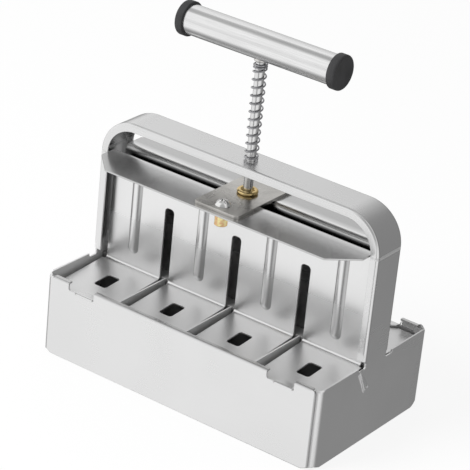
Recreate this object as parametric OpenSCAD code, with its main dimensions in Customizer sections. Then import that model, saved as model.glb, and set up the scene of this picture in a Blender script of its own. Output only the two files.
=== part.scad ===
// Eight-cell soil blocker: an open-bottomed box of sheet steel with two banks of cells,
// an arch over it, and a spring-loaded plunger that pushes the pressed blocks out.
// Axes: X along the box, Y from front to rear, Z up. The origin is on the ground, under the rod.

/* [Box] */
// Overall width of the box and of the arch
box_w = 210; // [180:1:250]
// Overall depth of the box over its front and rear walls
box_d = 118; // [106:1:140]
// Height of the walls
wall_h = 54; // [53:0.5:58]
// Thickness of the sheet of walls and arch
sheet_t = 1.2; // [0.9:0.1:1.5]
// Outer radius of the bent corners of the side walls
corner_r = 4; // [2.5:0.5:6]
// Width of the return flanges of the side walls
return_w = 9; // [7:0.5:14]
// Distance of the ends of the front and rear walls from the side faces
panel_inset = 3; // [1.5:0.5:4]
// Corner radius of the front and rear walls
panel_corner_r = 3; // [1:0.5:5]
// Height of the dividers and of the centre channel
divider_h = 51.2; // [46:0.1:52]
// Thickness of the dividers and of the centre channel
divider_t = 1.2; // [0.9:0.1:1.5]
// Width of the bent-in rims of the front and rear walls
rim_w = 3.6; // [2.5:0.1:5]
// Outer bend radius of the rims
rim_r = 1.7; // [1.6:0.1:2.2]

/* [Stop tabs] */
// Distance of the notches in the front and rear walls from the centre plane
notch_x = 76.5; // [72:0.5:80]
// Width of the notches
notch_w = 20; // [18:0.5:24]
// Depth of the notches below the top of the wall
notch_depth = 5; // [4:0.1:5.5]
// Corner radius of the notches
notch_r = 1.5; // [0.5:0.1:2]
// Width of the stop tabs
tab_w = 13; // [11:0.5:15]
// Offset of the stop tabs to the right of the middle of their notches
tab_shift = 2; // [0:0.1:3]
// Reach of the stop tabs, from the outer face of their wall
tab_reach = 6.6; // [5:0.1:8]
// Outer bend radius of the stop tabs
tab_bend_r = 1.7; // [1.6:0.1:2.2]
// Radius of the round relief at the right end of each notch
tab_relief_r = 0.9; // [0.5:0.1:1.3]

/* [Arch] */
// Depth of the arch from front to rear
arch_d = 26; // [22:1:32]
// Height of the top of the arch
arch_h = 150; // [146:1:165]
// Outer radius of the two corners of the arch
arch_r = 25; // [20:1:32]
// Width of the lips along the edges of the arch
lip_w = 5.5; // [4:0.5:7]
// Outer bend radius of the lips
lip_r = 2; // [1.6:0.1:3]
// Width of the relief notches beside the feet of the uprights
relief_w = 7; // [5:0.5:9]
// Depth of the relief notches
relief_depth = 2.4; // [1.5:0.1:4]
// Corner radius of the relief notches
relief_r = 1.2; // [0.5:0.1:1.4]
// Length of the slanted groove in front of each upright
groove_l = 18; // [10:1:24]
// Width of the slanted groove
groove_w = 1.4; // [0.8:0.1:2]
// Depth of the slanted groove
groove_depth = 0.5; // [0.3:0.1:0.7]
// Slant of the groove from the vertical, in degrees
groove_slant = 35; // [20:1:45]

/* [Press sheets] */
// Thickness of the press sheets
press_t = 1.2; // [0.9:0.1:1.5]
// Inner bend radius of the press sheets
press_r = 2.2; // [1.5:0.1:2.5]
// Height of the top of the flanges at rest
flange_h = 126; // [122:0.5:127]
// Distance of the flange edges from the centre plane
flange_reach = 36; // [33:0.5:40]
// Size of the cut corners of the flanges
mitre = 16.3; // [8:0.1:20]
// Gap between the ends of the press sheets and the lips of the arch
side_clear = 0.7; // [0.4:0.1:1.5]
// Height of the top of the feet at rest, at their bend
foot_h = 49.8; // [48.5:0.1:50.5]
// Slope of the feet down to their free edges, in degrees
foot_droop = 3.5; // [0:0.5:4.5]
// Gap between the free edges of the feet and the return flanges
foot_clear = 0.8; // [0.5:0.1:1.5]
// Gap between the sides of the feet and the dividers
foot_side_clear = 3.1; // [3:0.1:4.5]
// Corner radius of the feet
foot_r = 1.5; // [1:0.1:2.5]
// Gap between the feet and the stop tabs at rest
stop_gap = 0.4; // [0.2:0.05:0.6]
// Gap between the press sheets and the centre channel
slide_clear = 0.4; // [0.2:0.05:0.5]
// Width of the slots over the dividers
slot_w = 7; // [5:0.1:7.2]
// Corner radius at the top of the slots
slot_r = 2.6; // [1:0.1:3]
// Gap between the tops of slots and dividers when the plunger is down
slot_clear = 5; // [1:0.5:6]
// Distance of the holes in the feet from the centre plane
hole_at = 31; // [28:0.5:34]
// Width of the holes in the feet, along X
hole_x = 9.5; // [7:0.5:14]
// Length of the holes in the feet, away from the centre plane
hole_y = 15.4; // [12:0.2:22]
// Corner radius of the holes in the feet
hole_r = 2; // [1:0.1:3]
// Width of the pressed beads
bead_w = 8; // [6:0.5:10]
// Height of the pressed beads over the sheet
bead_h = 1.8; // [1.2:0.1:2.5]
// Distance of the lower ends of the beads from the feet
bead_gap = 10; // [6:0.5:16]
// Travel of the plunger
stroke = 44; // [36:0.5:44]

/* [Link plate] */
// Width of the link plate, along X
plate_w = 33; // [26:1:40]
// Length of the link plate, along Y
plate_d = 66; // [62:1:70]
// Thickness of the link plate
plate_t = 2; // [1.5:0.1:3]
// Corner radius of the link plate
plate_r = 3; // [1:0.5:5]
// Distance between the two plate screws
screw_span = 50; // [44:1:52]
// Diameter of the plate screws
screw_d = 5; // [4:0.5:6]
// Diameter of the screw heads
head_d = 10; // [8.5:0.1:11]
// Height of the screw heads
head_h = 3.4; // [2.5:0.1:4]
// Length of the arms of the cross recess
cross_l = 5; // [3:0.1:6]
// Width of the arms of the cross recess
cross_w = 1; // [0.6:0.1:1.4]
// Depth of the cross recess
cross_depth = 1.8; // [1:0.1:2.2]
// Width over the flats of the cap nuts
cap_nut_af = 8; // [7:0.1:9]
// Height of the hexagon of the cap nuts
cap_nut_h = 7.8; // [6:0.1:9]
// Height of the dome of the cap nuts
dome_h = 2.4; // [1.5:0.1:3]
// Length of the screw inside the cap nut
screw_grip = 6.5; // [4:0.1:7]
// Radial gap round screws in their holes
screw_clear = 0.15; // [0.05:0.05:0.3]
// Radial gap between threads, welded parts and the rod
thread_clear = 0.05; // [0.02:0.01:0.1]

/* [Rod] */
// Diameter of the push rod
rod_d = 6; // [5:0.1:7]
// Radial running gap of the rod in the arch
rod_clear = 0.1; // [0.05:0.01:0.15]
// Length of the rod below its nut
rod_end = 2; // [1:0.5:4]
// Width over the flats of the rod nut
rod_nut_af = 10; // [9:0.1:11]
// Height of the rod nut
rod_nut_h = 5; // [4:0.1:6]
// Gap between the rod nut and the press sheets
nut_clear = 0.3; // [0.2:0.05:0.6]
// Outer diameter of the rod collar
collar_d = 13.4; // [12:0.1:15]
// Height of the rod collar
collar_h = 2.4; // [1.8:0.1:3]
// Diameter of the countersink in the top of the collar
sink_d = 8.6; // [7.5:0.1:10]
// Depth of the countersink
sink_depth = 1.6; // [1:0.1:1.7]
// Diameter of the weld bead under the handle
weld_d = 8.6; // [8:0.1:10]
// Height of the weld bead under the handle
weld_h = 1.2; // [0.6:0.1:2]

/* [Spring] */
// Outer diameter of the spring
spring_d = 9; // [8.6:0.1:10]
// Diameter of the spring wire
wire_d = 1; // [0.8:0.1:1.1]
// Rise of a closed turn at the ends of the spring
closed_rise = 1.55; // [1.55:0.05:1.8]
// Gap between the spring and its seats
spring_gap = 0.3; // [0.2:0.05:0.4]

/* [Handle] */
// Height of the axis of the handle at rest
handle_h = 225; // [222:1:240]
// Outer diameter of the handle tube
tube_d = 19; // [17:0.5:22]
// Wall of the handle tube
tube_t = 1.2; // [1:0.1:2]
// Overall length of the handle with its caps
handle_l = 117; // [100:1:150]
// Outer diameter of the end caps
cap_d = 22; // [20:0.5:26]
// Overall length of an end cap
cap_l = 5.5; // [4:0.5:12]
// Thickness of the closed end of a cap
cap_end_t = 1.5; // [1:0.1:3]

/* [Hidden] */
$fn = 64;
// Overrun of cuts
over = 1;
// Step and overlap with which each sloping foot starts inside its bend
foot_step = 0.02;
foot_lap = 0.25;
// Cells in each bank, and open and closed turns of the spring
cells = 4;
open_turns = 11;
low_closed_turns = 1;
top_closed_turns = 2.5;
rings_per_turn = 8;
wire_sides = 6;

// Planes and sizes that follow from the values above
side_half = box_d / 2 - sheet_t;
inner_half_w = box_w / 2 - sheet_t;
cell_w = (2 * inner_half_w - (cells - 1) * divider_t) / cells;
cell_pitch = cell_w + divider_t;
press_gap = rod_nut_af + 2 * nut_clear;
channel_w = press_gap - 2 * slide_clear;
seam_h = arch_h - arch_r;
press_half_w = box_w / 2 - lip_w - side_clear;
panel_back = press_gap / 2;
panel_face = panel_back + press_t;
bend_mid = panel_face + press_r;
foot_reach = side_half - sheet_t - foot_clear;
foot_w = cell_w - 2 * foot_side_clear;
tab_tip = box_d / 2 - tab_reach;
foot_at_tip = foot_h + press_r - press_r / cos(foot_droop) - (tab_tip - bend_mid) * tan(foot_droop);
tab_bottom = hundredths(foot_at_tip + stop_gap);
rim_half = box_w / 2 - panel_inset - panel_corner_r;
slot_top = divider_h + stroke + slot_clear;
bead_radius = (pow(bead_w / 2, 2) + pow(bead_h, 2)) / (2 * bead_h);
bead_axis = panel_face + bead_h - bead_radius;
bead_low = foot_h + bead_gap + bead_w / 2;
plate_top = flange_h + plate_t;
tube_low = handle_h - tube_d / 2;
spring_low = arch_h + spring_gap + wire_d / 2;
spring_top = tube_low - weld_h - spring_gap - wire_d / 2;
turns = low_closed_turns + open_turns + top_closed_turns;
open_rise = (spring_top - spring_low - (low_closed_turns + top_closed_turns) * closed_rise) / open_turns;
coil_r = (spring_d - wire_d) / 2;

// Middle of cell number i of a bank, counted from the left
function cell_x(i) = (i - (cells - 1) / 2) * cell_pitch;
// Middle of divider number i of a bank, counted from the left
function divider_x(i) = (i - (cells - 2) / 2) * cell_pitch;

// A length rounded up to hundredths, so that faces which meet get the same number
function hundredths(length) = ceil(length * 100) / 100;
// Distance from the end of the bend along a foot's top, for a distance from the centre plane
function sloped(y) = (y - bend_mid + press_r * sin(foot_droop)) / cos(foot_droop);

// Flat shapes

module rounded_rect(size, r) {
    square([size[0] - 2 * r, size[1]], center = true);
    square([size[0], size[1] - 2 * r], center = true);
    for (x = [-1, 1], y = [-1, 1])
        translate([x * (size[0] / 2 - r), y * (size[1] / 2 - r)])
            circle(r);
}

// Quarter of a ring round the origin, in the quadrant that sx and sy name
module quarter_ring(outer, inner, sx, sy) {
    intersection() {
        difference() {
            circle(outer);
            circle(inner);
        }
        translate([sx * outer / 2, sy * outer / 2])
            square(outer, center = true);
    }
}

// Section of the lipped strip: its outer face is on X = 0 and the lips point to -X
module strip_section() {
    translate([-sheet_t, lip_r - arch_d / 2])
        square([sheet_t, arch_d - 2 * lip_r]);
    for (s = [-1, 1]) {
        translate([-lip_r, s * (arch_d / 2 - lip_r)])
            quarter_ring(lip_r, lip_r - sheet_t, 1, s);
        translate([-(lip_w + lip_r) / 2, s * (arch_d - sheet_t) / 2])
            square([lip_w - lip_r, sheet_t], center = true);
    }
}

// Plan of a side wall with its two bent corners and return flanges, on the right side
module side_plan() {
    translate([inner_half_w, corner_r - side_half])
        square([sheet_t, 2 * (side_half - corner_r)]);
    for (s = [-1, 1]) {
        translate([box_w / 2 - corner_r, s * (side_half - corner_r)])
            quarter_ring(corner_r, corner_r - sheet_t, 1, s);
        translate([box_w / 2 - (return_w + corner_r) / 2, s * (side_half - sheet_t / 2)])
            square([return_w - corner_r, sheet_t], center = true);
    }
}

// Box

module side_wall() {
    groove_y = -(arch_d / 2 + relief_w - 2 * lip_r);
    color("silver")
    difference() {
        union() {
            linear_extrude(wall_h)
                side_plan();
            translate([box_w / 2, 0, wall_h])
                linear_extrude(seam_h - wall_h)
                    strip_section();
        }
        for (s = [-1, 1])
            translate([box_w / 2 - lip_w - over, s * (arch_d / 2 - lip_r + relief_w / 2), wall_h])
                rotate([90, 0, 90])
                    linear_extrude(lip_w + 2 * over)
                        rounded_rect([relief_w, 2 * relief_depth], relief_r);
        for (s = [-1, 1])
            translate([box_w / 2 - return_w - over, s * (side_half - sheet_t / 2), wall_h - rim_r])
                linear_extrude(rim_r + over)
                    translate([0, -sheet_t])
                        square([return_w + over - corner_r, 2 * sheet_t]);
        translate([box_w / 2 - groove_depth, groove_y, wall_h - relief_depth])
            rotate([groove_slant, 0, 0])
                translate([0, -groove_w / 2, -groove_l])
                    cube([groove_depth + over, groove_w, groove_l]);
    }
}

module arch_corner() {
    translate([box_w / 2 - arch_r, 0, seam_h])
        rotate([90, 0, 0])
            rotate_extrude(angle = 90)
                translate([arch_r, 0])
                    strip_section();
}

module arch_top() {
    bar = box_w - 2 * arch_r;
    color("gainsboro")
    difference() {
        union() {
            arch_corner();
            mirror([1, 0, 0])
                arch_corner();
            translate([-bar / 2, 0, arch_h])
                rotate([90, 0, 90])
                    linear_extrude(bar)
                        rotate(90)
                            strip_section();
        }
        translate([0, 0, arch_h - sheet_t - over])
            cylinder(h = sheet_t + 2 * over, d = rod_d + 2 * rod_clear);
    }
}

// Section of a rim, from the outer face of its wall inwards and from its top down
module rim_section() {
    translate([rim_r, -rim_r])
        quarter_ring(rim_r, rim_r - sheet_t, -1, 1);
    translate([rim_r, -sheet_t])
        square([rim_w - rim_r, sheet_t]);
}

// Stop tab on the front wall, round its own middle
module stop_tab() {
    flat = tab_reach - tab_bend_r;
    arc_r = hundredths((pow(tab_w / 2, 2) + pow(flat, 2)) / (2 * flat));
    bend_z = tab_bottom + sheet_t - tab_bend_r;
    translate([-tab_w / 2, tab_bend_r - box_d / 2, bend_z])
        rotate([90, 0, 90])
            linear_extrude(tab_w)
                quarter_ring(tab_bend_r, tab_bend_r - sheet_t, -1, 1);
    translate([0, tab_bend_r - box_d / 2, tab_bottom])
        linear_extrude(sheet_t)
            intersection() {
                translate([0, flat - arc_r])
                    circle(arc_r);
                translate([-tab_w / 2, 0])
                    square([tab_w, flat]);
            }
}

module panel_wall() {
    bend_z = tab_bottom + sheet_t - tab_bend_r;
    notch_low = wall_h - notch_depth;
    color("whitesmoke") {
        difference() {
            union() {
                translate([0, -side_half, 0])
                    rotate([90, 0, 0])
                        linear_extrude(sheet_t)
                            difference() {
                                translate([0, wall_h / 2])
                                    rounded_rect([box_w - 2 * panel_inset, wall_h], panel_corner_r);
                                translate([-rim_half, wall_h - rim_r])
                                    square([2 * rim_half, rim_r + over]);
                            }
                translate([-rim_half, -box_d / 2, wall_h])
                    rotate([90, 0, 90])
                        linear_extrude(2 * rim_half)
                            rim_section();
            }
            for (s = [-1, 1])
                translate([s * notch_x, rim_w + over - box_d / 2, 0])
                    rotate([90, 0, 0])
                        linear_extrude(rim_w + 2 * over) {
                            translate([0, wall_h])
                                rounded_rect([notch_w, 2 * notch_depth], notch_r);
                            translate([notch_w / 2 - tab_relief_r, notch_low])
                                circle(tab_relief_r);
                            translate([tab_shift - tab_w / 2, bend_z])
                                square([tab_w, wall_h - bend_z]);
                        }
        }
        for (s = [-1, 1])
            translate([s * notch_x + tab_shift, 0, 0])
                stop_tab();
    }
}

module centre_channel() {
    color("silver")
    translate([-inner_half_w, -channel_w / 2, 0])
        difference() {
            cube([2 * inner_half_w, channel_w, divider_h]);
            translate([-over, divider_t, -over])
                cube([2 * (inner_half_w + over), channel_w - 2 * divider_t, divider_h - divider_t + over]);
        }
}

module divider(i) {
    color("lightgray")
    translate([divider_x(i) - divider_t / 2, -side_half, 0])
        cube([divider_t, side_half - channel_w / 2, divider_h]);
}

// Plunger

// Section of a press sheet without its feet, as distance from the centre plane and height
module press_section() {
    translate([panel_back, foot_h + press_r])
        square([press_t, flange_h - foot_h - press_t - 2 * press_r]);
    translate([bend_mid, foot_h + press_r])
        intersection() {
            quarter_ring(press_r + press_t, press_r, -1, -1);
            rotate(-foot_droop)
                translate(-2 * (press_r + press_t) * [1, 1])
                    square(2 * (press_r + press_t));
        }
    translate([bend_mid, flange_h - press_t - press_r])
        quarter_ring(press_r + press_t, press_r, -1, 1);
    translate([bend_mid, flange_h - press_t])
        square([flange_reach - bend_mid, press_t]);
}

// Round bar with a round lower end, from which a bead and its hollow are made
module bead_bar(r, top) {
    translate([0, bead_axis, bead_low]) {
        cylinder(h = top - bead_low, r = r);
        sphere(r);
    }
}

// Press sheet on the positive Y side
module press_sheet() {
    color("whitesmoke")
    difference() {
        union() {
            rotate([90, 0, 90])
                translate([0, 0, -press_half_w])
                    linear_extrude(2 * press_half_w)
                        press_section();
            translate([0, bend_mid, foot_h + press_r])
                rotate([-foot_droop, 0, 0])
                    translate([0, 0, foot_step - press_r - press_t])
                        linear_extrude(press_t - 2 * foot_step)
                            for (i = [0 : cells - 1])
                                translate([cell_x(i), 0])
                                    foot_shape();
            for (i = [0 : cells - 1])
                translate([cell_x(i), 0, 0])
                    intersection() {
                        bead_bar(bead_radius, flange_h - press_t);
                        translate([-bead_w, panel_back, foot_h])
                            cube([2 * bead_w, 2 * bead_w, flange_h - foot_h]);
                    }
        }
        for (i = [0 : cells - 1]) {
            translate([cell_x(i), 0, 0])
                bead_bar(bead_radius - press_t, flange_h - press_t - press_r);
        }
        for (i = [0 : cells - 2])
            translate([divider_x(i), bend_mid, (slot_top + foot_h) / 2])
                rotate([90, 0, 0])
                    linear_extrude(bend_mid)
                        slot_shape(slot_top - foot_h);
        for (s = [-1, 1])
            translate([s * press_half_w, flange_reach, flange_h - press_t - over])
                linear_extrude(press_t + 2 * over)
                    rotate(45)
                        square(sqrt(2) * mitre, center = true);
        translate([0, screw_span / 2, flange_h - press_t - over])
            cylinder(h = press_t + 2 * over, d = screw_d + 2 * screw_clear);
    }
}

// Foot in its own plane, from inside the end of its bend outwards
module foot_shape() {
    foot_l = sloped(foot_reach);
    difference() {
        intersection() {
            rounded_rect([foot_w, 2 * foot_l], foot_r);
            translate([-foot_w / 2, -foot_lap])
                square([foot_w, foot_l + foot_lap]);
        }
        translate([0, sloped(hole_at)])
            rounded_rect([hole_x, hole_y], hole_r);
    }
}

// Slot with round upper corners that runs out below the foot, round the middle of its height
module slot_shape(h) {
    rounded_rect([slot_w, h], slot_r);
    translate([-slot_w / 2, -h / 2 - press_t - over])
        square([slot_w, h / 2]);
}

module link_plate() {
    color("darkgray")
    translate([0, 0, flange_h])
        difference() {
            linear_extrude(plate_t)
                rounded_rect([plate_w, plate_d], plate_r);
            translate([0, 0, -over])
                cylinder(h = plate_t + 2 * over, d = rod_d + 2 * thread_clear);
            for (s = [-1, 1])
                translate([0, s * screw_span / 2, -over])
                    cylinder(h = plate_t + 2 * over, d = screw_d + 2 * screw_clear);
        }
}

module plate_screw() {
    cap_r = (pow(head_d / 2, 2) + pow(head_h, 2)) / (2 * head_h);
    shank = plate_t + press_t + screw_grip;
    color("lightsteelblue")
    translate([0, screw_span / 2, plate_top])
        difference() {
            union() {
                rotate_extrude()
                    intersection() {
                        translate([0, head_h - cap_r])
                            circle(cap_r);
                        square([head_d, head_h + over]);
                    }
                translate([0, 0, -shank])
                    cylinder(h = shank + head_h / 2, d = screw_d);
            }
            for (a = [0, 90])
                rotate(a)
                    translate([-cross_l / 2, -cross_w / 2, head_h - cross_depth])
                        cube([cross_l, cross_w, cross_depth + over]);
        }
}

module plate_nut() {
    nut_top = flange_h - press_t;
    dome_base = cap_nut_af / 2 - thread_clear;
    dome_r = (pow(dome_base, 2) + pow(dome_h, 2)) / (2 * dome_h);
    color("gold")
    translate([0, screw_span / 2, nut_top - cap_nut_h])
        difference() {
            union() {
                rotate(30)
                    cylinder(h = cap_nut_h, d = cap_nut_af / cos(30), $fn = 6);
                rotate_extrude()
                    intersection() {
                        translate([0, dome_r - dome_h])
                            circle(dome_r);
                        translate([0, -dome_h])
                            square([dome_base, dome_h + cap_nut_h / 2]);
                    }
            }
            translate([0, 0, cap_nut_h - screw_grip - over])
                cylinder(h = screw_grip + 2 * over, d = screw_d + 2 * thread_clear);
        }
}

module push_rod() {
    rod_low = flange_h - rod_nut_h - rod_end;
    color("lightsteelblue") {
        translate([0, 0, rod_low])
            cylinder(h = handle_h - rod_low, d = rod_d);
        difference() {
            translate([0, 0, tube_low - weld_h])
                cylinder(h = weld_h + tube_d / 4, d = weld_d);
            translate([-weld_d, 0, handle_h])
                rotate([0, 90, 0])
                    cylinder(h = 2 * weld_d, d = tube_d + 2 * thread_clear);
        }
    }
}

module rod_collar() {
    bore_r = rod_d / 2 + thread_clear;
    round_r = collar_h / 2;
    color("goldenrod")
    translate([0, 0, plate_top])
        rotate_extrude()
            difference() {
                union() {
                    translate([bore_r, 0])
                        square([collar_d / 2 - round_r - bore_r, collar_h]);
                    translate([collar_d / 2 - round_r, round_r])
                        circle(round_r);
                }
                polygon([[0, collar_h - sink_depth], [bore_r, collar_h - sink_depth],
                    [sink_d / 2, collar_h], [sink_d / 2, collar_h + over], [0, collar_h + over]]);
            }
}

module rod_nut() {
    color("gold")
    translate([0, 0, flange_h - rod_nut_h])
        difference() {
            cylinder(h = rod_nut_h, d = rod_nut_af / cos(30), $fn = 6);
            translate([0, 0, -over])
                cylinder(h = rod_nut_h + 2 * over, d = rod_d + 2 * thread_clear);
        }
}

module handle_tube() {
    tube_l = handle_l - 2 * cap_end_t;
    color("silver")
    difference() {
        translate([-tube_l / 2, 0, handle_h])
            rotate([0, 90, 0])
                cylinder(h = tube_l, d = tube_d);
        translate([-tube_l / 2 - over, 0, handle_h])
            rotate([0, 90, 0])
                cylinder(h = tube_l + 2 * over, d = tube_d - 2 * tube_t);
        translate([0, 0, tube_low - over])
            cylinder(h = tube_d / 2 + over, d = rod_d + 2 * thread_clear);
    }
}

module end_cap() {
    color("dimgray")
    translate([handle_l / 2 - cap_l, 0, handle_h])
        rotate([0, 90, 0])
            difference() {
                cylinder(h = cap_l, d = cap_d);
                translate([0, 0, -over])
                    cylinder(h = cap_l - cap_end_t + over, d = tube_d + 2 * thread_clear);
            }
}

// Spring: one unbroken wire with closed turns at both ends

function wire_z(u) = spring_low + closed_rise * u
    + (open_rise - closed_rise) * min(max(u - low_closed_turns, 0), open_turns);
function wire_point(u) = [coil_r * cos(360 * u), coil_r * sin(360 * u), wire_z(u)];
function wire_step(u) = wire_point(u + 0.5 / rings_per_turn) - wire_point(u - 0.5 / rings_per_turn);
function unit(v) = v / norm(v);
function wire_ring(u) =
    let (along = unit(wire_step(u)), out = [cos(360 * u), sin(360 * u), 0], side = unit(cross(along, out)),
        flat = cross(side, along))
    [for (k = [0 : wire_sides - 1])
        wire_point(u) + wire_d / 2 * (cos(360 * k / wire_sides) * flat + sin(360 * k / wire_sides) * side)];
ring_count = round(turns * rings_per_turn) + 1;
// Least distance between wire surfaces a turn apart, with the turns' own slope allowed for
turn_gap = min([for (i = [0 : ring_count - 1 - rings_per_turn], j = [rings_per_turn - 2 : rings_per_turn + 2])
    if (i + j < ring_count)
        norm(wire_point((i + j) / rings_per_turn) - wire_point(i / rings_per_turn))]) - wire_d;
echo(spring_least_gap = turn_gap, spring_open_rise = open_rise, spring_length = spring_top - spring_low + wire_d);

module spring() {
    points = [for (i = [0 : ring_count - 1]) each wire_ring(i / rings_per_turn)];
    last = (ring_count - 1) * wire_sides;
    sides = [for (i = [0 : ring_count - 2], k = [0 : wire_sides - 1])
        let (a = i * wire_sides + k, b = i * wire_sides + (k + 1) % wire_sides)
        each [[a, a + wire_sides, b], [b, a + wire_sides, b + wire_sides]]];
    ends = [for (k = [1 : wire_sides - 2])
        each [[0, k, k + 1], [last, last + k + 1, last + k]]];
    color("slategray")
    polyhedron(points, concat(sides, ends), convexity = 10);
}

side_wall();  // right_side_wall
mirror([1, 0, 0]) side_wall();  // left_side_wall
arch_top();
panel_wall();  // front_wall
mirror([0, 1, 0]) panel_wall();  // rear_wall
centre_channel();
divider(0);  // front_divider_1
divider(1);  // front_divider_2
divider(2);  // front_divider_3
mirror([0, 1, 0]) divider(0);  // rear_divider_1
mirror([0, 1, 0]) divider(1);  // rear_divider_2
mirror([0, 1, 0]) divider(2);  // rear_divider_3
mirror([0, 1, 0]) press_sheet();  // front_press_sheet
press_sheet();  // rear_press_sheet
link_plate();
mirror([0, 1, 0]) plate_screw();  // front_plate_screw
plate_screw();  // rear_plate_screw
mirror([0, 1, 0]) plate_nut();  // front_plate_nut
plate_nut();  // rear_plate_nut
push_rod();
rod_collar();
rod_nut();
spring();
handle_tube();
mirror([1, 0, 0]) end_cap();  // left_end_cap
end_cap();  // right_end_cap
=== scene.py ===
"""Eight-cell soil blocker: steel box and arch, press sheets with their feet, link plate, rod, spring and T-handle."""
import math

import bpy
from mathutils import Matrix, Vector
from mathutils.bvhtree import BVHTree

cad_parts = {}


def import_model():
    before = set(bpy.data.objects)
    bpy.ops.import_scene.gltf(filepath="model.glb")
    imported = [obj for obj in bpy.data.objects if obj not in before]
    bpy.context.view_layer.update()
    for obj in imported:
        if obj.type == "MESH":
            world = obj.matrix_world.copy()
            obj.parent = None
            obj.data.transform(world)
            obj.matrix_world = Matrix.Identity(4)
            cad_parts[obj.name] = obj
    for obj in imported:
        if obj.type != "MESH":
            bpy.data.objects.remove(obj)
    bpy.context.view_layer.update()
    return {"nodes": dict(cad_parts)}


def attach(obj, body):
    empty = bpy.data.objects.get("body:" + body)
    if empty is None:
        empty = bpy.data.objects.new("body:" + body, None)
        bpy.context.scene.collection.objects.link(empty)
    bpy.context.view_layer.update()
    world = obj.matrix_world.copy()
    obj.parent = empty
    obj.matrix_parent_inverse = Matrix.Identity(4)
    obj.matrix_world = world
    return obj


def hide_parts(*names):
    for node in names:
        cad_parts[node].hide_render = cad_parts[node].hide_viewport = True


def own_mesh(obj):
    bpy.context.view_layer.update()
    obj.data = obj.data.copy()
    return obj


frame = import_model()
MM = 0.001

# Heights and sizes of the assembled tool, in millimetres, as its drawing gives them
BOX_HALF_X, BOX_HALF_Y = 105.0, 59.0
WALL_H = 54.0
SEAM_H = 125.0
FLANGE_H = 126.0
PLATE_T = 2.0
SHEET_T = 1.2
SCREW_SPAN = 50.0
HANDLE_H = 225.0
TUBE_D, TUBE_T, TUBE_L = 19.0, 1.2, 114.0


# ---------------------------------------------------------------- small tools

def clear_selection():
    for other in bpy.context.selected_objects:
        other.select_set(False)


def pick(piece):
    clear_selection()
    piece.select_set(True)
    bpy.context.view_layer.objects.active = piece
    return piece


def edit(piece, mode="FACE"):
    pick(piece)
    bpy.ops.object.mode_set(mode="EDIT")
    bpy.ops.mesh.select_mode(type=mode)


def done():
    bpy.ops.object.mode_set(mode="OBJECT")


def choose_faces(piece, test):
    """Selects the faces of the edited piece whose centre and normal pass the test."""
    done()
    for part in (piece.data.vertices, piece.data.edges, piece.data.polygons):
        part.foreach_set("select", [False] * len(part))
    for face in piece.data.polygons:
        face.select = bool(test(face.center / MM, face.normal))
    bpy.ops.object.mode_set(mode="EDIT")


def choose_edges(piece, test):
    """Selects the edges of the edited piece whose two ends pass the test."""
    done()
    for part in (piece.data.vertices, piece.data.edges, piece.data.polygons):
        part.foreach_set("select", [False] * len(part))
    points = piece.data.vertices
    for line in piece.data.edges:
        a, b = (points[i].co / MM for i in line.vertices)
        line.select = bool(test(a, b))
    bpy.ops.object.mode_set(mode="EDIT")


def apply_all(piece):
    pick(piece)
    for modifier in list(piece.modifiers):
        bpy.ops.object.modifier_apply(modifier=modifier.name)


def settle(piece):
    """Puts the piece's place into its mesh, so that its object is at the origin, unturned."""
    pick(piece)
    bpy.ops.object.transform_apply(location=True, rotation=True, scale=True)


def smooth(piece, angle=35):
    pick(piece)
    bpy.ops.object.shade_smooth_by_angle(angle=math.radians(angle))


def round_edges(piece, width, segments=2, angle=40):
    """Rounds the sharp edges.

    Corner points that the bevel throws off the piece's surface or past its box are put back.
    """
    points = [point.co.copy() for point in piece.data.vertices]
    before = BVHTree.FromPolygons(points, [tuple(face.vertices) for face in piece.data.polygons])
    low = [min(point[axis] for point in points) for axis in range(3)]
    high = [max(point[axis] for point in points) for axis in range(3)]
    bevel = piece.modifiers.new("Rounded edges", "BEVEL")
    bevel.width = width * MM
    bevel.segments = segments
    bevel.limit_method = "ANGLE"
    bevel.angle_limit = math.radians(angle)
    bevel.use_clamp_overlap = False
    apply_all(piece)
    for point in piece.data.vertices:
        near, _, _, away = before.find_nearest(point.co)
        if away > 0.5 * width * MM:
            point.co = near
        point.co = [min(max(point.co[axis], low[axis]), high[axis]) for axis in range(3)]
    even = piece.modifiers.new("Even shading", "WEIGHTED_NORMAL")
    even.keep_sharp = True
    even.weight = 80
    smooth(piece, 50)
    apply_all(piece)


def cylinder(name, radius, low, high, sides=64, fill="NGON"):
    """A round bar along Z between two heights, in millimetres."""
    clear_selection()
    bpy.ops.mesh.primitive_cylinder_add(
        vertices=sides, radius=radius * MM, depth=(high - low) * MM, end_fill_type=fill,
        location=(0, 0, (low + high) / 2 * MM))
    piece = bpy.context.object
    piece.name = piece.data.name = name
    settle(piece)
    return piece


def block(x, y, z, place=(0, 0, 0)):
    """A box of three sizes about a place, in millimetres."""
    clear_selection()
    bpy.ops.mesh.primitive_cube_add(size=1 * MM, location=Vector(place) * MM)
    piece = bpy.context.object
    piece.scale = (x, y, z)
    settle(piece)
    return piece


def wire(name, radius, path, roundness):
    """A round wire with closed ends along a path of points, in millimetres."""
    curve = bpy.data.curves.new(name, "CURVE")
    curve.dimensions = "3D"
    curve.bevel_depth = radius * MM
    curve.bevel_resolution = roundness
    curve.use_fill_caps = True
    line = curve.splines.new("POLY")
    line.points.add(len(path) - 1)
    for point, spot in zip(line.points, path):
        point.co = (*(Vector(spot) * MM), 1)
    piece = bpy.data.objects.new(name, curve)
    bpy.context.collection.objects.link(piece)
    pick(piece)
    bpy.ops.object.convert(target="MESH")
    piece = bpy.context.object
    smooth(piece, 50)
    return piece


def shift(piece, x=0.0, y=0.0, z=0.0):
    piece.data.transform(Matrix.Translation(Vector((x, y, z)) * MM))
    return piece


def turn(piece, degrees, axis):
    piece.data.transform(Matrix.Rotation(math.radians(degrees), 4, axis))
    return piece


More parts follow.
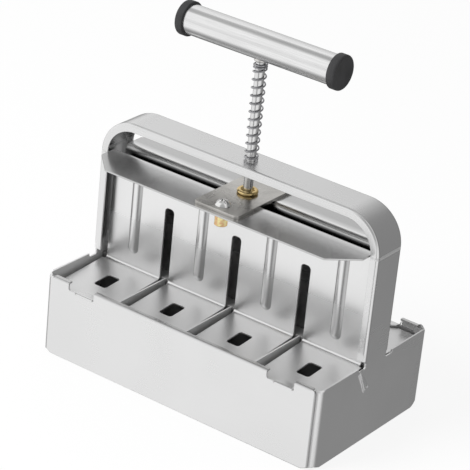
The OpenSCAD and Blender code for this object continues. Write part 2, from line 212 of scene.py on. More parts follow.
def cut(piece, tool, how="DIFFERENCE"):
    """Cuts, joins or trims a piece with a tool, which is used up."""
    boolean = piece.modifiers.new("Cut", "BOOLEAN")
    boolean.operation = how
    boolean.solver = "EXACT"
    boolean.object = tool
    pick(piece)
    bpy.ops.object.modifier_apply(modifier=boolean.name)
    bpy.data.objects.remove(tool)
    return piece


def copied(piece, name):
    twin = bpy.data.objects.new(name, piece.data.copy())
    twin.data.name = name
    bpy.context.collection.objects.link(twin)
    return twin


def fit(piece, body, material, slot_name, *nodes):
    """Gives a finished piece its material and body and hides the nodes that it stands for; slot_name is not used."""
    piece.data.materials.clear()
    piece.data.materials.append(material)
    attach(piece, body)
    if nodes:
        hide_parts(*nodes)
    return piece


# ---------------------------------------------------------------- shader groups

def socket(group, name, kind, into, value=None):
    made = group.interface.new_socket(name=name, in_out="INPUT" if into else "OUTPUT", socket_type=kind)
    if value is not None:
        made.default_value = value
    return made


def link(tree, start, end):
    tree.links.new(start, end)


def mill_finish_group():
    """Rolled and ground sheet: fine lines along one direction, and broad clouds left by handling."""
    group = bpy.data.node_groups.new("Mill finish", "ShaderNodeTree")
    socket(group, "Stretch", "NodeSocketVector", True, (60.0, 900.0, 900.0))
    socket(group, "Cloud Scale", "NodeSocketFloat", True, 14.0)
    socket(group, "Lines", "NodeSocketFloat", False)
    socket(group, "Clouds", "NodeSocketFloat", False)
    socket(group, "Waves", "NodeSocketFloat", False)
    nodes = group.nodes
    enter, leave = nodes.new("NodeGroupInput"), nodes.new("NodeGroupOutput")
    place = nodes.new("ShaderNodeTexCoord")
    scaled = nodes.new("ShaderNodeVectorMath")
    scaled.operation = "MULTIPLY"
    link(group, place.outputs["Object"], scaled.inputs[0])
    link(group, enter.outputs["Stretch"], scaled.inputs[1])
    lines = nodes.new("ShaderNodeTexNoise")
    lines.inputs["Scale"].default_value = 1.0
    lines.inputs["Detail"].default_value = 6.0
    lines.inputs["Roughness"].default_value = 0.65
    link(group, scaled.outputs[0], lines.inputs["Vector"])
    clouds = nodes.new("ShaderNodeTexNoise")
    clouds.inputs["Detail"].default_value = 4.0
    clouds.inputs["Distortion"].default_value = 0.4
    link(group, place.outputs["Object"], clouds.inputs["Vector"])
    link(group, enter.outputs["Cloud Scale"], clouds.inputs["Scale"])
    waves = nodes.new("ShaderNodeTexNoise")
    waves.inputs["Scale"].default_value = 22.0
    waves.inputs["Detail"].default_value = 1.0
    link(group, place.outputs["Object"], waves.inputs["Vector"])
    link(group, lines.outputs["Fac"], leave.inputs["Lines"])
    link(group, clouds.outputs["Fac"], leave.inputs["Clouds"])
    link(group, waves.outputs["Fac"], leave.inputs["Waves"])
    return group


def grain_group():
    """Fine pebbled grain of moulded rubber, plating or cast surfaces, with broad patches."""
    group = bpy.data.node_groups.new("Fine grain", "ShaderNodeTree")
    socket(group, "Grain Scale", "NodeSocketFloat", True, 1500.0)
    socket(group, "Patch Scale", "NodeSocketFloat", True, 60.0)
    socket(group, "Grain", "NodeSocketFloat", False)
    socket(group, "Patches", "NodeSocketFloat", False)
    nodes = group.nodes
    enter, leave = nodes.new("NodeGroupInput"), nodes.new("NodeGroupOutput")
    place = nodes.new("ShaderNodeTexCoord")
    for scale_in, out, detail in (("Grain Scale", "Grain", 3.0), ("Patch Scale", "Patches", 5.0)):
        noise = nodes.new("ShaderNodeTexNoise")
        noise.inputs["Detail"].default_value = detail
        link(group, place.outputs["Object"], noise.inputs["Vector"])
        link(group, enter.outputs[scale_in], noise.inputs["Scale"])
        link(group, noise.outputs["Fac"], leave.inputs[out])
    return group


MILL = mill_finish_group()
GRAIN = grain_group()


def blank_material(name):
    material = bpy.data.materials.new(name)
    material.use_nodes = True
    shader = material.node_tree.nodes["Principled BSDF"]
    return material, material.node_tree, shader


def maths(tree, how, *values):
    """A Math node on values that are sockets or plain numbers."""
    node = tree.nodes.new("ShaderNodeMath")
    node.operation = how
    for place, value in zip(node.inputs, values):
        if isinstance(value, float):
            place.default_value = value
        else:
            link(tree, value, place)
    return node.outputs[0]


def ramp(tree, value, start, end, low=0.0, high=1.0):
    """Goes from low to high while the value goes from start to end."""
    node = tree.nodes.new("ShaderNodeMapRange")
    node.inputs["From Min"].default_value, node.inputs["From Max"].default_value = start, end
    node.inputs["To Min"].default_value, node.inputs["To Max"].default_value = low, high
    link(tree, value, node.inputs["Value"])
    return node.outputs["Result"]


def spread(tree, value, low, high):
    """The middle part of a noise value, laid between two numbers."""
    return ramp(tree, value, 0.3, 0.7, low, high)


def darkened(tree, colour, share, mask):
    """A colour that goes down to a share of itself where the mask is one."""
    node = tree.nodes.new("ShaderNodeMix")
    node.data_type, node.blend_type = "RGBA", "MULTIPLY"
    node.inputs["B"].default_value = (share, share, share, 1)
    link(tree, mask, node.inputs["Factor"])
    link(tree, colour, node.inputs["A"])
    return node.outputs["Result"]


def between(tree, value, dark, light):
    """A colour between two colours, by the noise."""
    node = tree.nodes.new("ShaderNodeMix")
    node.data_type = "RGBA"
    node.inputs["A"].default_value = (*dark, 1)
    node.inputs["B"].default_value = (*light, 1)
    link(tree, spread(tree, value, 0.0, 1.0), node.inputs["Factor"])
    return node.outputs["Result"]


def bump(tree, height, depth, strength, under=None):
    """A bump of a depth in millimetres, laid over another one."""
    node = tree.nodes.new("ShaderNodeBump")
    node.inputs["Strength"].default_value = strength
    node.inputs["Distance"].default_value = depth * MM
    link(tree, height, node.inputs["Height"])
    if under is not None:
        link(tree, under, node.inputs["Normal"])
    return node.outputs["Normal"]


def zone(tree, *limits):
    """One within the limits, nought outside.

    Each limit is an axis, two distances from the middle and a soft width, in millimetres.
    """
    place = tree.nodes.new("ShaderNodeTexCoord")
    parts = tree.nodes.new("ShaderNodeSeparateXYZ")
    link(tree, place.outputs["Object"], parts.inputs[0])
    result = None
    for axis, low, high, soft in limits:
        size = maths(tree, "ABSOLUTE", parts.outputs[axis])
        for start, end in ((low - soft, low), (high + soft, high)):
            side = ramp(tree, size, start * MM, end * MM)
            result = side if result is None else maths(tree, "MULTIPLY", result, side)
    return result


def toward_value(tree, value, goal, mask):
    """A value that goes over to another one where the mask is one."""
    node = tree.nodes.new("ShaderNodeMix")
    node.data_type = "FLOAT"
    link(tree, mask, node.inputs["Factor"])
    if isinstance(value, float):
        node.inputs["A"].default_value = value
    else:
        link(tree, value, node.inputs["A"])
    node.inputs["B"].default_value = goal
    return node.outputs["Result"]


# Sideways slope of a rib's flank at the start and end of its painted shade, and the share of colour left
PAINTED_SHADE_FLANK, PAINTED_SHADE_LINE = (-0.1, -0.4, 0.6), (0.5, 0.62, 0.5)


def rib_shade(tree, colour):
    """Ribs with painted shade on one flank and a thin line of painted shade on the other one."""
    place = tree.nodes.new("ShaderNodeTexCoord")
    facing, spot = tree.nodes.new("ShaderNodeSeparateXYZ"), tree.nodes.new("ShaderNodeSeparateXYZ")
    link(tree, place.outputs["Normal"], facing.inputs[0])
    link(tree, place.outputs["Object"], spot.inputs[0])
    slope = maths(tree, "MULTIPLY", facing.outputs["X"], maths(tree, "SIGN", spot.outputs["Y"]))
    for start, end, share in (PAINTED_SHADE_FLANK, PAINTED_SHADE_LINE):
        flank = maths(tree, "MULTIPLY", ramp(tree, slope, start, end), zone(tree, *RIBS))
        colour = darkened(tree, colour, share, flank)
    return colour


def steel(name, light, roughness, stretch, cloud=14.0, tone=0.06, line_depth=0.0002, wave_depth=0.012,
          tint=(1, 1, 1), dull=(), dark=(), metal=1.0, ribs=False, brushed=False):
    """Stainless sheet with a mill finish.

    Each dull zone has a share of lost metal look and a roughness; each dark zone is painted shade, with the share of
    colour left.
    """
    material, tree, shader = blank_material(name)
    shader.inputs["Metallic"].default_value = metal
    group = tree.nodes.new("ShaderNodeGroup")
    group.node_tree = MILL
    group.inputs["Stretch"].default_value = stretch
    group.inputs["Cloud Scale"].default_value = cloud
    low_tone = [(light - tone) * c for c in tint]
    bright = [light * c for c in tint]
    colour = between(tree, group.outputs["Lines" if brushed else "Clouds"], low_tone, bright)
    # Dark zones: painted shade laid into the colour
    for zones, share in dark:
        colour = darkened(tree, colour, share, zone(tree, *zones))
    if ribs:
        colour = rib_shade(tree, colour)
    link(tree, colour, shader.inputs["Base Color"])
    broad = spread(tree, group.outputs["Clouds"], roughness * 0.9, roughness * 1.1)
    fine = spread(tree, group.outputs["Lines"], -0.006, 0.006)
    roughened, metallic = maths(tree, "ADD", broad, fine), metal
    for zones, share, goal in dull:
        mask = zone(tree, *zones)
        roughened = toward_value(tree, roughened, goal, mask)
        metallic = toward_value(tree, metallic, 1.0 - 0.65 * share, mask)
        link(tree, metallic, shader.inputs["Metallic"])
    link(tree, roughened, shader.inputs["Roughness"])
    waves = bump(tree, group.outputs["Waves"], wave_depth, 1.0)
    lines = bump(tree, group.outputs["Lines"], line_depth, 1.0, waves)
    link(tree, lines, shader.inputs["Normal"])
    return material


def plated(name, dark, light, roughness, metallic=1.0, grain=1500.0, patches=90.0, depth=0.01):
    """Turned, plated or moulded small parts."""
    material, tree, shader = blank_material(name)
    shader.inputs["Metallic"].default_value = metallic
    group = tree.nodes.new("ShaderNodeGroup")
    group.node_tree = GRAIN
    group.inputs["Grain Scale"].default_value = grain
    group.inputs["Patch Scale"].default_value = patches
    link(tree, between(tree, group.outputs["Patches"], dark, light), shader.inputs["Base Color"])
    link(tree, spread(tree, group.outputs["Grain"], roughness - 0.05, roughness + 0.05), shader.inputs["Roughness"])
    link(tree, bump(tree, group.outputs["Grain"], depth, 0.6), shader.inputs["Normal"])
    return material


ALONG_X = (40.0, 1400.0, 1400.0)
ALONG_Y = (1400.0, 40.0, 1400.0)
ALONG_Z = (1400.0, 1400.0, 40.0)
# Zones of a finish or of painted shade: axis, nearest and farthest distance from the middle, soft width
RIBS = (("Z", 58, 123, 1), ("Y", 6.55, 8.6, 0.1))
INSIDE_OF_SIDES = (("X", 0, 104.2, 0.3), ("Y", 0, 56.0, 0.8), ("Z", 0, 60, 2))
INSIDE_OF_WALLS = (("Y", 0, 57.9, 0.3), ("Z", 0, 47.5, 1.0))
# Painted shade at the ends of the front and rear walls, by the bent corners
PANEL_END_SHADE = (("X", 101.2, 110, 0.3),)
PANEL_FOOT = (("Z", 53, 80, 6), ("Y", 0, 8.5, 0.5))
# Painted shade low in the cells, on the centre channel
CELL_SHADE = (("Z", 14, 49, 8),)
# Painted shade on the top lip of the front and rear walls
RIM = (("Z", 53.0, 60, 0.7), ("Y", 50, 58.6, 0.3))
SEAM = (("Z", SEAM_H - 0.6, SEAM_H + 0.6, 0.7), ("X", 90, 110, 1))
# Thin line of painted shade at the bend of the lips of the uprights and the arch
LIP_SHADE_LINE = (("Y", 11.2, 11.6, 0.25), ("Z", 56, 160, 2))
# Painted shade on the press sheets' flanges outside the arch
FLANGE_SHADE = (("Z", FLANGE_H - 2.2, 130, 1.0), ("Y", 13, 60, 4))
FEET = (("Z", 0, 52.2, 0.6), ("Y", 8.5, 60, 1))
# Near-black painted shade on the press sheets' faces in the gap between them
GAP_SHADE = (("Y", 0, 4.3, 0.6), ("Z", 40, 123.0, 1.4))
BOX_STEEL = steel("Box steel", 0.83, 0.28, ALONG_X, dull=((INSIDE_OF_WALLS, 1.0, 0.5),),
                  dark=((RIM, 0.78), (PANEL_END_SHADE, 0.55)))
SIDE_STEEL = steel("Side steel", 0.83, 0.28, ALONG_Y, dull=((INSIDE_OF_SIDES, 1.0, 0.5), (SEAM, 0.3, 0.5)),
                   dark=((LIP_SHADE_LINE, 0.7),))
ARCH_STEEL = steel("Arch steel", 0.80, 0.27, ALONG_X, dull=((SEAM, 0.3, 0.5),), dark=((LIP_SHADE_LINE, 0.7),))
CHANNEL_STEEL = steel("Channel steel", 0.74, 0.45, ALONG_X, dark=((CELL_SHADE, 0.22),), metal=0.4)
DIVIDER_STEEL = steel("Divider steel", 0.74, 0.45, ALONG_Y, metal=0.4)
PRESS_STEEL = steel("Press steel", 0.84, 0.22, ALONG_X, wave_depth=0.06,
                    dull=((FEET, 0.15, 0.36), (PANEL_FOOT, 0.0, 0.33)),
                    dark=((FLANGE_SHADE, 0.74), (GAP_SHADE, 0.15)), ribs=True)
PLATE_STEEL = steel("Plate steel", 0.68, 0.27, ALONG_Y, cloud=55.0, tone=0.22, line_depth=0.003,
                    tint=(1.0, 0.975, 0.93))
TUBE_STEEL = steel("Tube steel", 0.88, 0.2, ALONG_X, tone=0.13, wave_depth=0.01, brushed=True)
ROD_STEEL = steel("Rod steel", 0.78, 0.2, ALONG_Z, wave_depth=0.01)
SEAM_STEEL = plated("Seam steel", (0.74, 0.74, 0.74), (0.86, 0.86, 0.86), 0.35, metallic=0.35)
SPRING_STEEL = plated("Spring wire", (0.32, 0.32, 0.33), (0.52, 0.52, 0.54), 0.2)
SCREW_STEEL = plated("Screw steel", (0.78, 0.78, 0.77), (0.9, 0.9, 0.89), 0.1, depth=0.004)
YELLOW_ZINC = plated("Yellow zinc", (0.6, 0.26, 0.16), (0.86, 0.84, 0.42), 0.15, patches=480.0)
COLLAR_BRASS = plated("Collar brass", (0.7, 0.5, 0.2), (0.86, 0.68, 0.36), 0.2)
WELD_STEEL = plated("Weld metal", (0.6, 0.59, 0.57), (0.76, 0.75, 0.73), 0.3, patches=400.0)
CAP_RUBBER = plated("Cap rubber", (0.024, 0.024, 0.025), (0.04, 0.04, 0.042), 0.6, metallic=0.0,
                    grain=2600.0, depth=0.03)


# ---------------------------------------------------------------- sheet-metal pieces

def rounded_sheet(node, name, edge=0.2, merge=0.03, flat=0.03):
    """A sheet part with the fine rounding of cut and bent edges.

    Points closer than merge, in millimetres, become one, and faces flatter than flat, in degrees, are joined.
    """
    piece = bpy.data.objects.new(name, frame["nodes"][node].data.copy())
    piece.data.name = name
    bpy.context.collection.objects.link(piece)
    edit(piece, "VERT")
    bpy.ops.mesh.select_all(action="SELECT")
    bpy.ops.mesh.remove_doubles(threshold=merge * MM)
    bpy.ops.mesh.customdata_custom_splitnormals_clear()
    bpy.ops.mesh.dissolve_limited(angle_limit=math.radians(flat))
    done()
    if node in ("front_wall", "rear_wall"):
        for side in (-1, 1):
            clip_corners(piece, side, ends=(-1 if node == "front_wall" else 1,))
    if "side_wall" in node:
        side = 1 if "right" in node else -1
        clip_corners(piece, side, upright=True)
        seam_trench(piece, side)
    round_edges(piece, edge)
    return piece


# How far each flat cut reaches along X, Y and Z from a corner of the box
GROUND_CLIPS = ((3.6, 8.0, 6.8), (7.6, 9.0, 3.5))
RIM_CLIPS = ((2.6, 6.0, 4.6), (4.8, 7.0, 2.6))
CLIP_BLOCK = (14, 14, 6)


def clip_corners(piece, side, ends=(-1, 1), upright=False):
    """Rounds a wall's corners at the ground and at the rim with flat cuts.

    A wall with an upright is cut at the rim by a small block, because a whole plane would cut the upright too.
    """
    for end in ends:
        for level, up, clips in ((0, -1, GROUND_CLIPS), (WALL_H, 1, RIM_CLIPS)):
            for reach in clips:
                corner = Vector((side * BOX_HALF_X, end * BOX_HALF_Y, level))
                out = Vector((side / reach[0], end / reach[1], up / reach[2]))
                away = out.normalized()
                start = corner - away / out.length
                if upright and up > 0:
                    tool = block(*CLIP_BLOCK)
                    tool.data.transform(away.to_track_quat("Z", "Y").to_matrix().to_4x4())
                    shift(tool, *(start + away * CLIP_BLOCK[2] / 2))
                    cut(piece, tool)
                    continue
                edit(piece, "VERT")
                bpy.ops.mesh.select_all(action="SELECT")
                bpy.ops.mesh.bisect(plane_co=start * MM, plane_no=away, use_fill=True, clear_outer=True)
                done()
    return piece


# The folded seam below the lip: its top, its low end and half its width
SEAM_TOP, SEAM_LOW, SEAM_HALF = Vector((104.45, -16.3, 49.4)), Vector((104.45, -9.4, 36.2)), 0.95


def seam_trench(piece, side):
    """The shallow slanted trench in a side wall that takes the folded seam."""
    down = SEAM_LOW - SEAM_TOP
    trench = block(2.0, 2 * SEAM_HALF + 1.2, down.length + 1.8)
    turn(trench, math.degrees(math.atan2(down.y, -down.z)), "X")
    middle = (SEAM_TOP + SEAM_LOW) / 2
    shift(trench, x=105.2, y=middle.y, z=middle.z)
    if side < 0:
        turn(trench, 180, "Z")
    return cut(piece, trench)


DIVIDERS = tuple(f"{bank}_divider_{number}" for bank in ("front", "rear") for number in (1, 2, 3))
SHEETS = (
    ("frame", SIDE_STEEL, "box_steel", ("right_side_wall", "left_side_wall")),
    ("frame", ARCH_STEEL, "arch_steel", ("arch_top",)),
    ("frame", BOX_STEEL, "box_steel", ("front_wall", "rear_wall")),
    ("frame", CHANNEL_STEEL, "divider_steel", ("centre_channel",)),
    ("frame", DIVIDER_STEEL, "divider_steel", DIVIDERS),
    ("plunger", PRESS_STEEL, "press_steel", ("front_press_sheet", "rear_press_sheet")),
    ("plunger", PLATE_STEEL, "plate_steel", ("link_plate",)),
)
for body, material, slot_name, nodes in SHEETS:
    for node in nodes:
        fit(rounded_sheet(node, node.capitalize()), body, material, slot_name, node)


# ---------------------------------------------------------------- rod, collar, screws and nuts

def hexagon(name, across_flats, low, high, turned=0.0):
    """A hexagon nut body whose corners are chamfered at both ends."""
    corner = across_flats / 2 / math.cos(math.radians(30))
    body = turn(cylinder(name, corner, low, high, sides=6), turned, "Z")
    trim = cylinder("Trim", corner, low, high, sides=96)
    edit(trim, "EDGE")
    choose_edges(trim, lambda a, b: abs(a.z - b.z) < 1e-3)
    bpy.ops.mesh.bevel(offset=(corner - across_flats / 2) * 1.15 * MM, segments=1, affect="EDGES")
    done()
    return cut(body, trim, "INTERSECT")


def push_rod():
    """The rod, and the weld bead that joins it to the tube."""
    tube_low = HANDLE_H - TUBE_D / 2
    piece = cylinder("Push_rod", 3.0, 119.0, tube_low + 0.6, sides=48)
    round_edges(piece, 0.5, segments=3)
    bead = cylinder("Rod_weld", 4.3, tube_low - 1.2, tube_low + 2.4, sides=48)
    edit(bead, "EDGE")
    choose_edges(bead, lambda a, b: max(a.z, b.z) < tube_low - 1)
    bpy.ops.mesh.bevel(offset=1.1 * MM, segments=5, affect="EDGES")
    done()
    tube = turn(cylinder("Tube_space", TUBE_D / 2 + 0.02, -20, 20, sides=96), 90, "Y")
    cut(bead, shift(tube, z=HANDLE_H))
    smooth(bead, 50)
    fit(piece, "plunger", ROD_STEEL, "rod_steel", "push_rod")
    fit(bead, "plunger", WELD_STEEL, "rod_steel")


def rod_collar():
    low = FLANGE_H + PLATE_T
    piece = cylinder("Rod_collar", 6.7, low, low + 2.4, sides=72)
    edit(piece, "EDGE")
    choose_edges(piece, lambda a, b: abs(a.z - b.z) < 1e-3)
    bpy.ops.mesh.bevel(offset=1.1 * MM, segments=5, affect="EDGES")
    done()
    bore = cylinder("Bore", 3.05, low - 1, low + 4, sides=72)
    cut(piece, bore)
    clear_selection()
    bpy.ops.mesh.primitive_cone_add(vertices=72, radius1=3.05 * MM, radius2=4.45 * MM, depth=1.7 * MM,
                                    location=(0, 0, (low + 2.4 - 0.8) * MM))
    sink = bpy.context.object
    settle(sink)
    cut(piece, sink)
    smooth(piece, 30)
    fit(piece, "plunger", COLLAR_BRASS, "collar_brass", "rod_collar")


def rod_nut():
    piece = hexagon("Rod_nut", 10.0, FLANGE_H - 5.0, FLANGE_H)
    cut(piece, cylinder("Bore", 3.05, FLANGE_H - 7, FLANGE_H + 2, sides=48))
    round_edges(piece, 0.12)
    fit(piece, "plunger", YELLOW_ZINC, "yellow_zinc", "rod_nut")


def plate_nut():
    top = FLANGE_H - SHEET_T
    piece = hexagon("Front_plate_nut", 8.0, top - 10.2, top, 30)
    cut(piece, cylinder("Bore", 2.55, top - 6.5, top + 2, sides=48))
    round_edges(piece, 0.12)
    shift(piece, y=-SCREW_SPAN / 2)
    twin = shift(copied(piece, "Rear_plate_nut"), y=SCREW_SPAN)
    fit(piece, "plunger", YELLOW_ZINC, "yellow_zinc", "front_plate_nut")
    fit(twin, "plunger", YELLOW_ZINC, "yellow_zinc", "rear_plate_nut")


def plate_screw():
    base = FLANGE_H + PLATE_T
    head_r, head_h = 5.0, 3.4
    ball = (head_r ** 2 + head_h ** 2) / (2 * head_h)
    clear_selection()
    bpy.ops.mesh.primitive_uv_sphere_add(
        segments=64, ring_count=48, radius=ball * MM, location=(0, 0, (head_h - ball) * MM))
    piece = bpy.context.object
    piece.name = piece.data.name = "Front_plate_screw"
    settle(piece)
    edit(piece, "VERT")
    bpy.ops.mesh.select_all(action="SELECT")
    bpy.ops.mesh.bisect(plane_co=(0, 0, 0), plane_no=(0, 0, 1), use_fill=True, clear_inner=True)
    choose_edges(piece, lambda a, b: max(a.z, b.z) < 0.01 and min(a.xy.length, b.xy.length) > 4.5)
    bpy.ops.mesh.bevel(offset=0.35 * MM, segments=4, affect="EDGES")
    done()
    for angle in (0, 90):
        arm = block(5.0, 1.05, 2.4, (0, 0, head_h - 0.7))
        edit(arm)
        choose_faces(arm, lambda c, n: n.z < -0.5)
        bpy.ops.transform.resize(value=(0.5, 0.62, 1))
        done()
        turn(arm, angle + 8, "Z")
        cut(piece, arm)
    smooth(piece, 35)
    shank = cylinder("Shank", 2.5, -9.6, 0.3, sides=48)
    cut(piece, shank, "UNION")
    smooth(piece, 35)
    shift(piece, y=-SCREW_SPAN / 2, z=base)
    twin = shift(copied(piece, "Rear_plate_screw"), y=SCREW_SPAN)
    fit(piece, "plunger", SCREW_STEEL, "screw_steel", "front_plate_screw")
    fit(twin, "plunger", SCREW_STEEL, "screw_steel", "rear_plate_screw")


# ---------------------------------------------------------------- spring

def spring():
    """Round wire with closed turns at both ends, sliding over the rod."""
    low, high, radius, thickness = 150.8, 213.5, 4.0, 0.5
    low_closed, open_turns, top_closed, closed_rise = 1.0, 11.0, 2.5, 1.55
    open_rise = (high - low - (low_closed + top_closed) * closed_rise) / open_turns
    turns, steps = low_closed + open_turns + top_closed, 20
    path = []
    for i in range(int(turns * steps) + 1):
        u = i / steps
        z = low + closed_rise * u + (open_rise - closed_rise) * min(max(u - low_closed, 0), open_turns)
        path.append((radius * math.cos(2 * math.pi * u), radius * math.sin(2 * math.pi * u), z))
    piece = wire("Spring", thickness, path, 3)
    fit(piece, "frame", SPRING_STEEL, "spring_steel", "spring")
    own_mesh(piece)


# ---------------------------------------------------------------- handle

def handle():
    tube = turn(cylinder("Handle_tube", TUBE_D / 2, -TUBE_L / 2, TUBE_L / 2, sides=128, fill="NOTHING"), 90, "Y")
    wall = tube.modifiers.new("Wall", "SOLIDIFY")
    wall.thickness = TUBE_T * MM
    wall.offset = -1
    apply_all(tube)
    round_edges(tube, 0.2)
    shift(tube, z=HANDLE_H)
    fit(tube, "plunger", TUBE_STEEL, "tube_steel", "handle_tube")
    cap = cylinder("Right_end_cap", 11.0, 53.0, 58.5, sides=96)
    edit(cap, "EDGE")
    choose_edges(cap, lambda a, b: min(a.z, b.z) > 58 and a.xy.length > 10 and b.xy.length > 10)
    bpy.ops.mesh.bevel(offset=1.3 * MM, segments=6, affect="EDGES")
    choose_edges(cap, lambda a, b: max(a.z, b.z) < 53.1)
    bpy.ops.mesh.bevel(offset=0.35 * MM, segments=3, affect="EDGES")
    choose_faces(cap, lambda c, n: n.z > 0.99 and c.xy.length < 0.1 and c.z > 58)
    bpy.ops.mesh.inset(thickness=0.9 * MM)
    bpy.ops.mesh.inset(thickness=0.25 * MM, depth=-0.15 * MM)
    done()
    bore = cylinder("Bore", TUBE_D / 2 + 0.05, 50.0, 57.0, sides=96)
    cut(cap, bore)
    smooth(cap, 40)
    turn(cap, 90, "Y")
    shift(cap, z=HANDLE_H)
    left = turn(copied(cap, "Left_end_cap"), 180, "Z")
    fit(cap, "plunger", CAP_RUBBER, "cap_rubber", "right_end_cap")
    fit(left, "plunger", CAP_RUBBER, "cap_rubber", "left_end_cap")


def seam_wire():
    """The folded bright seam below the front lip of each upright, let into the side wall."""
    top, low, half = SEAM_TOP, SEAM_LOW, SEAM_HALF
    down = (low - top).normalized()
    across = Vector((0, down.z, -down.y))
    path = [low + across * half * 0.8]
    for i in range(9):
        angle = math.pi * i / 8
        path.append(top + across * half * math.cos(angle) * 1.25 - down * half * math.sin(angle))
    path.append(low - across * half * 0.8)
    piece = wire("Seam_wire", 0.5, path, 4)
    twin = turn(copied(piece, "Left_seam_wire"), 180, "Z")
    fit(piece, "frame", SEAM_STEEL, "box_steel")
    fit(twin, "frame", SEAM_STEEL, "box_steel")


def rolled_bend(name, low_x, high_x, bank):
    """The rolled bend between a press sheet and its flange, seen in the gap between both sheets."""
    radius, middle = 5.5, Vector((0, 8.7, FLANGE_H - 5.47))
    piece = turn(cylinder(name, radius, low_x, high_x, sides=128, fill="NOTHING"), 90, "Y")
    shift(piece, y=middle.y, z=middle.z)
    edit(piece)
    choose_faces(piece, lambda c, n: c.y > middle.y or c.z < middle.z)
    bpy.ops.mesh.delete(type="FACE")
    bpy.ops.mesh.select_mode(type="EDGE")
    choose_edges(piece, lambda a, b: abs(a.z - middle.z) < 1e-3 and abs(b.z - middle.z) < 1e-3 and a.y < middle.y - 5)
    bpy.ops.mesh.extrude_edges_move(TRANSFORM_OT_translate={"value": (0, 0, -9 * MM)})
    bpy.ops.mesh.select_all(action="SELECT")
    bpy.ops.mesh.normals_make_consistent(inside=False)
    done()
    if piece.data.polygons[len(piece.data.polygons) // 2].normal.y > 0:
        edit(piece)
        bpy.ops.mesh.select_all(action="SELECT")
        bpy.ops.mesh.flip_normals()
        done()
    wall = piece.modifiers.new("Wall", "SOLIDIFY")
    wall.thickness = 0.35 * MM
    wall.offset = -1
    apply_all(piece)
    smooth(piece, 30)
    if bank < 0:
        turn(piece, 180, "Z")
    fit(piece, "plunger", PRESS_STEEL, "press_steel")


def rolled_bends():
    for side, sheet in ((1, "Rear"), (-1, "Front")):
        rolled_bend(sheet + "_bend_a", -98.0, -9.0, side)
        rolled_bend(sheet + "_bend_b", 9.0, 98.0, side)


push_rod()
rod_collar()
rod_nut()
plate_nut()
plate_screw()
spring()
handle()
seam_wire()
rolled_bends()


# ---------------------------------------------------------------- camera, floor and light

def camera():
    """Camera at the viewing angle of the picture, in degrees and millimetres."""
    azimuth, elevation, roll = (math.radians(v) for v in (34.163, 25.774, 5.817))
    per_mm, distance, right_off, up_off, frame_px = 1.619, 1500.0, 5.188, 27.70, 470
    out = math.cos(elevation)
    back = Vector((math.sin(azimuth) * out, -math.cos(azimuth) * out, math.sin(elevation)))
    level = Vector((math.cos(azimuth), math.sin(azimuth), 0))
    upward = back.cross(level)
    right = level * math.cos(roll) + upward * math.sin(roll)
    up = -level * math.sin(roll) + upward * math.cos(roll)
    aim = Vector((0, 0, 80)) - right * right_off / per_mm + up * up_off / per_mm
    data = bpy.data.cameras.new("Camera")
    data.sensor_width = 36.0
    data.lens = per_mm * distance * data.sensor_width / frame_px
    data.clip_start, data.clip_end = 0.05, 50.0
    eye = bpy.data.objects.new("Camera", data)
    turned = Matrix((right, up, back)).transposed().to_4x4()
    eye.matrix_world = Matrix.Translation((aim + back * distance) * MM) @ turned
    bpy.context.collection.objects.link(eye)
    bpy.context.scene.camera = eye


def floor():
    clear_selection()
    bpy.ops.mesh.primitive_plane_add(size=12.0, location=(0, 0, -0.0004))
    ground = bpy.context.object
    ground.name = "Floor"
    ground.visible_glossy = False
    material, tree, shader = blank_material("Floor")
    shader.inputs["Base Color"].default_value = (0.9, 0.9, 0.9, 1)
    shader.inputs["Roughness"].default_value = 0.9
    glow = tree.nodes.new("ShaderNodeEmission")
    glow.inputs["Color"].default_value = (1, 1, 1, 1)
    rays = tree.nodes.new("ShaderNodeLightPath").outputs
    seen = maths(tree, "MAXIMUM", rays["Is Camera Ray"], rays["Is Glossy Ray"])
    share = maths(tree, "MULTIPLY", maths(tree, "MAXIMUM", seen, rays["Is Transmission Ray"]), 0.86)
    mix = tree.nodes.new("ShaderNodeMixShader")
    link(tree, share, mix.inputs["Fac"])
    link(tree, shader.outputs["BSDF"], mix.inputs[1])
    link(tree, glow.outputs["Emission"], mix.inputs[2])
    link(tree, mix.outputs["Shader"], tree.nodes["Material Output"].inputs["Surface"])
    ground.data.materials.append(material)
    clear_selection()
    # A near-black plane on the ground inside the box: painted shade in the cells below the feet
    bpy.ops.mesh.primitive_plane_add(size=1.0, location=(0, 0, -0.0002))
    inner = bpy.context.object
    inner.name = "Shade_plane_in_box"
    inner.scale = (0.196, 0.106, 1)
    settle(inner)
    dark, tree, shader = blank_material("Painted shade in box")
    shader.inputs["Base Color"].default_value = (0.05, 0.05, 0.05, 1)
    shader.inputs["Roughness"].default_value = 0.9
    inner.data.materials.append(dark)


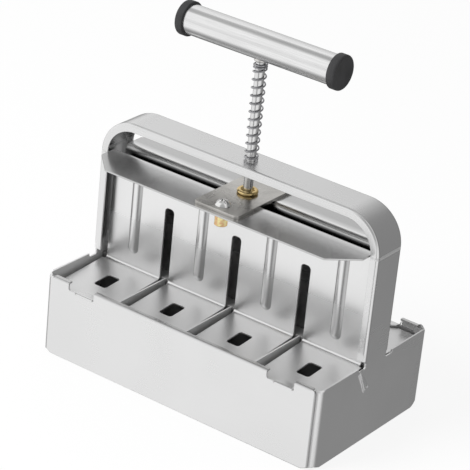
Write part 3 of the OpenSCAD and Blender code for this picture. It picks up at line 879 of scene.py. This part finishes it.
def world():
    """White all round for the camera.

    Metal sees a light room that is bright in front, to the left and above, and dim at the rear right.
    """
    room = bpy.data.worlds.new("Studio")
    room.use_nodes = True
    tree = room.node_tree
    nodes = tree.nodes
    back = nodes["Background"]
    path = nodes.new("ShaderNodeLightPath")
    place = nodes.new("ShaderNodeTexCoord")

    def toward(direction, start, end, low, high):
        """A value by how far a ray points in a direction."""
        dot = nodes.new("ShaderNodeVectorMath")
        dot.operation = "DOT_PRODUCT"
        dot.inputs[1].default_value = Vector(direction).normalized()
        link(tree, place.outputs["Generated"], dot.inputs[0])
        node = nodes.new("ShaderNodeMapRange")
        node.interpolation_type = "SMOOTHSTEP"
        for key, number in (("From Min", start), ("From Max", end), ("To Min", low), ("To Max", high)):
            node.inputs[key].default_value = number
        link(tree, dot.outputs["Value"], node.inputs["Value"])
        return node.outputs["Result"]

    def times(a, b):
        return maths(tree, "MULTIPLY", a, b)

    rear_right = toward((0.56, 0.83, 0.0), 0.2, 0.85, 1.0, 0.32)
    down = toward((0.0, 0.0, -1.0), 0.52, 0.86, 1.0, 0.26)
    above = toward((0.0, 0.0, 1.0), 0.8, 0.99, 1.0, 0.55)
    rear = toward((0.0, 1.0, 0.0), 0.3, 0.8, 1.0, 0.85)
    front_right = toward((0.45, -0.7, 0.5), 0.68, 0.93, 1.0, 0.42)
    room_light = times(times(times(rear_right, down), times(above, rear)), front_right)
    for direction, start, end, low in (
            ((-0.505, 0.0, 0.863), 0.925, 0.995, 0.5),
            ((-0.505, -0.857, 0.105), 0.965, 0.999, 0.84),
            ((0.156, -0.886, -0.435), 0.955, 0.995, 0.38),
            ((-0.66, 0.61, -0.435), 0.84, 0.965, 0.25)):
        room_light = times(room_light, toward(direction, start, end, 1.0, low))
    plain = nodes.new("ShaderNodeMix")
    plain.data_type = "FLOAT"
    plain.inputs["A"].default_value = 0.62
    link(tree, path.outputs["Is Glossy Ray"], plain.inputs["Factor"])
    link(tree, room_light, plain.inputs["B"])
    white = nodes.new("ShaderNodeMix")
    white.data_type = "FLOAT"
    white.inputs["B"].default_value = 1.0
    through = maths(tree, "MAXIMUM", path.outputs["Is Camera Ray"], path.outputs["Is Transmission Ray"])
    link(tree, through, white.inputs["Factor"])
    link(tree, plain.outputs["Result"], white.inputs["A"])
    back.inputs["Color"].default_value = (1, 1, 1, 1)
    link(tree, white.outputs["Result"], back.inputs["Strength"])
    bpy.context.scene.world = room


def lamp(name, place, size, power, aim=(0, 0, 0.08)):
    data = bpy.data.lights.new(name, "AREA")
    data.shape = "RECTANGLE"
    data.size, data.size_y = size
    data.energy = power
    made = bpy.data.objects.new(name, data)
    made.location = place
    made.rotation_euler = (Vector(aim) - Vector(place)).to_track_quat("-Z", "Y").to_euler()
    made.visible_glossy = False
    bpy.context.collection.objects.link(made)


camera()
floor()
world()
lamp("Key", (-0.9, -1.3, 1.6), (1.2, 1.2), 38.0)

scene = bpy.context.scene
scene.view_settings.view_transform = "Standard"
